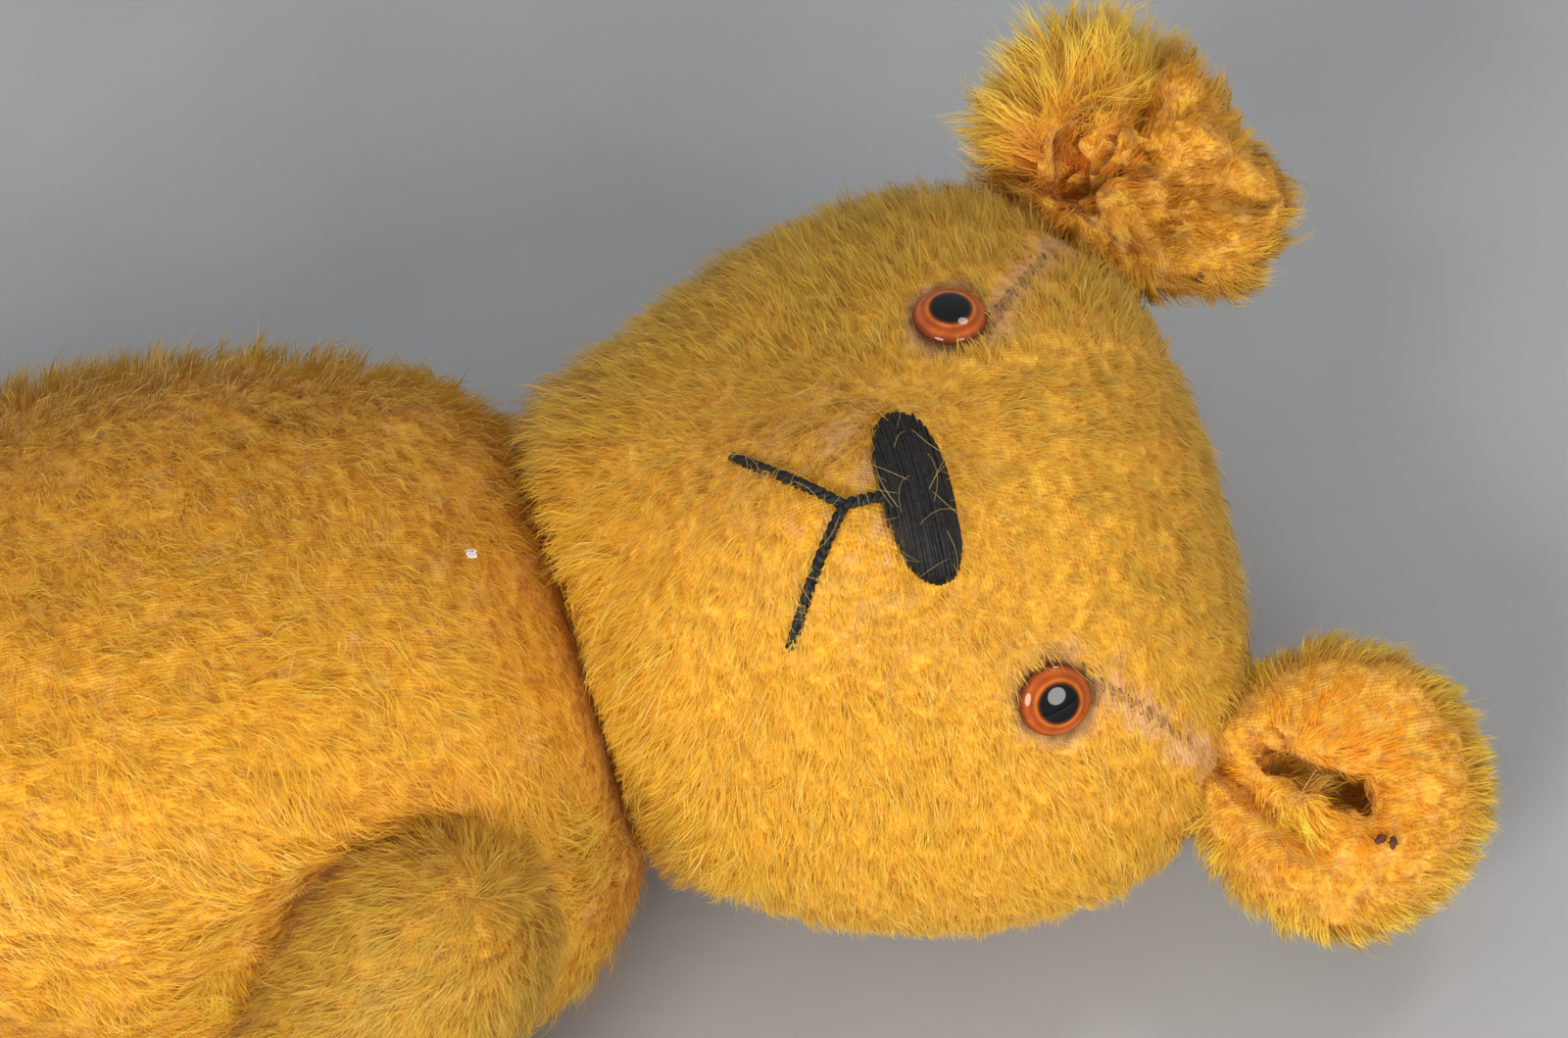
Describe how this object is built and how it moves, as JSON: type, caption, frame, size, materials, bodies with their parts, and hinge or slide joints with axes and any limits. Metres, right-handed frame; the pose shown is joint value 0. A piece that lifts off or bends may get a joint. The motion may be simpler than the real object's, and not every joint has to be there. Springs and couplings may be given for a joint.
{
  "type": "jointed mohair teddy bear",
  "caption": "Worn golden mohair teddy bear with a swivelling head and disc-jointed arms and legs, lying on its back.",
  "frame": {"origin": "on the flat of the back under the belly, where the torso lies on the table", "axes": "+X up the body to the crown, -Y to the bear's left, +Z out of its front"},
  "size_m": [0.4684, 0.2442, 0.1328],
  "materials": {
    "mohair": "worn golden mohair pile on a tan woven backing",
    "wood_wool": "packed wood wool",
    "felt": "worn wool felt",
    "black_thread": "waxed black embroidery thread",
    "amber_glass": "polished amber glass over a black pupil",
    "fibreboard": "pressed fibreboard",
    "steel_wire": "dull steel"
  },
  "bodies": {
    "torso": {"torso_cover": "mohair", "torso_stuffing": "wood_wool", "neck_disc_in_torso": "fibreboard", "neck_washer_in_torso": "steel_wire", "neck_cotter_pin": "steel_wire", "arm_left_disc_in_torso": "fibreboard", "arm_left_washer_in_torso": "steel_wire", "arm_left_cotter_pin": "steel_wire", "arm_right_disc_in_torso": "fibreboard", "arm_right_washer_in_torso": "steel_wire", "arm_right_cotter_pin": "steel_wire", "leg_left_disc_in_torso": "fibreboard", "leg_left_washer_in_torso": "steel_wire", "leg_left_cotter_pin": "steel_wire", "leg_right_disc_in_torso": "fibreboard", "leg_right_washer_in_torso": "steel_wire", "leg_right_cotter_pin": "steel_wire"},
    "head": {"head_cover": "mohair", "head_stuffing": "wood_wool", "ear_left": "mohair", "ear_right": "mohair", "eye_left": "amber_glass", "eye_right": "amber_glass", "eye_shank_left": "steel_wire", "eye_shank_right": "steel_wire", "nose_stitching": "black_thread", "mouth_stitching": "black_thread", "neck_disc_in_head": "fibreboard", "neck_washer_in_head": "steel_wire"},
    "arm_left": {"arm_left_cover": "mohair", "arm_left_stuffing": "wood_wool", "paw_pad_left": "felt", "arm_left_disc_in_limb": "fibreboard", "arm_left_washer_in_limb": "steel_wire"},
    "arm_right": {"arm_right_cover": "mohair", "arm_right_stuffing": "wood_wool", "paw_pad_right": "felt", "arm_right_disc_in_limb": "fibreboard", "arm_right_washer_in_limb": "steel_wire"},
    "leg_left": {"leg_left_cover": "mohair", "leg_left_stuffing": "wood_wool", "foot_pad_left": "felt", "leg_left_disc_in_limb": "fibreboard", "leg_left_washer_in_limb": "steel_wire"},
    "leg_right": {"leg_right_cover": "mohair", "leg_right_stuffing": "wood_wool", "foot_pad_right": "felt", "leg_right_disc_in_limb": "fibreboard", "leg_right_washer_in_limb": "steel_wire"}
  },
  "joints": [
    {"name": "neck_swivel", "type": "hinge", "parent": "torso", "child": "head", "pos_m": [0.1, 0, 0.06], "axis": [1, 0, 0], "continuous": true},
    {"name": "shoulder_left", "type": "hinge", "parent": "torso", "child": "arm_left", "pos_m": [0.062, -0.054, 0.075], "axis": [0, 1, 0], "continuous": true},
    {"name": "shoulder_right", "type": "hinge", "parent": "torso", "child": "arm_right", "pos_m": [0.062, 0.054, 0.052], "axis": [0, 1, 0], "continuous": true},
    {"name": "hip_left", "type": "hinge", "parent": "torso", "child": "leg_left", "pos_m": [-0.06, -0.054, 0.06], "axis": [0, 1, 0], "range_deg": [-60, 112]},
    {"name": "hip_right", "type": "hinge", "parent": "torso", "child": "leg_right", "pos_m": [-0.06, 0.054, 0.06], "axis": [0, 1, 0], "range_deg": [-60, 112]}
  ]
}
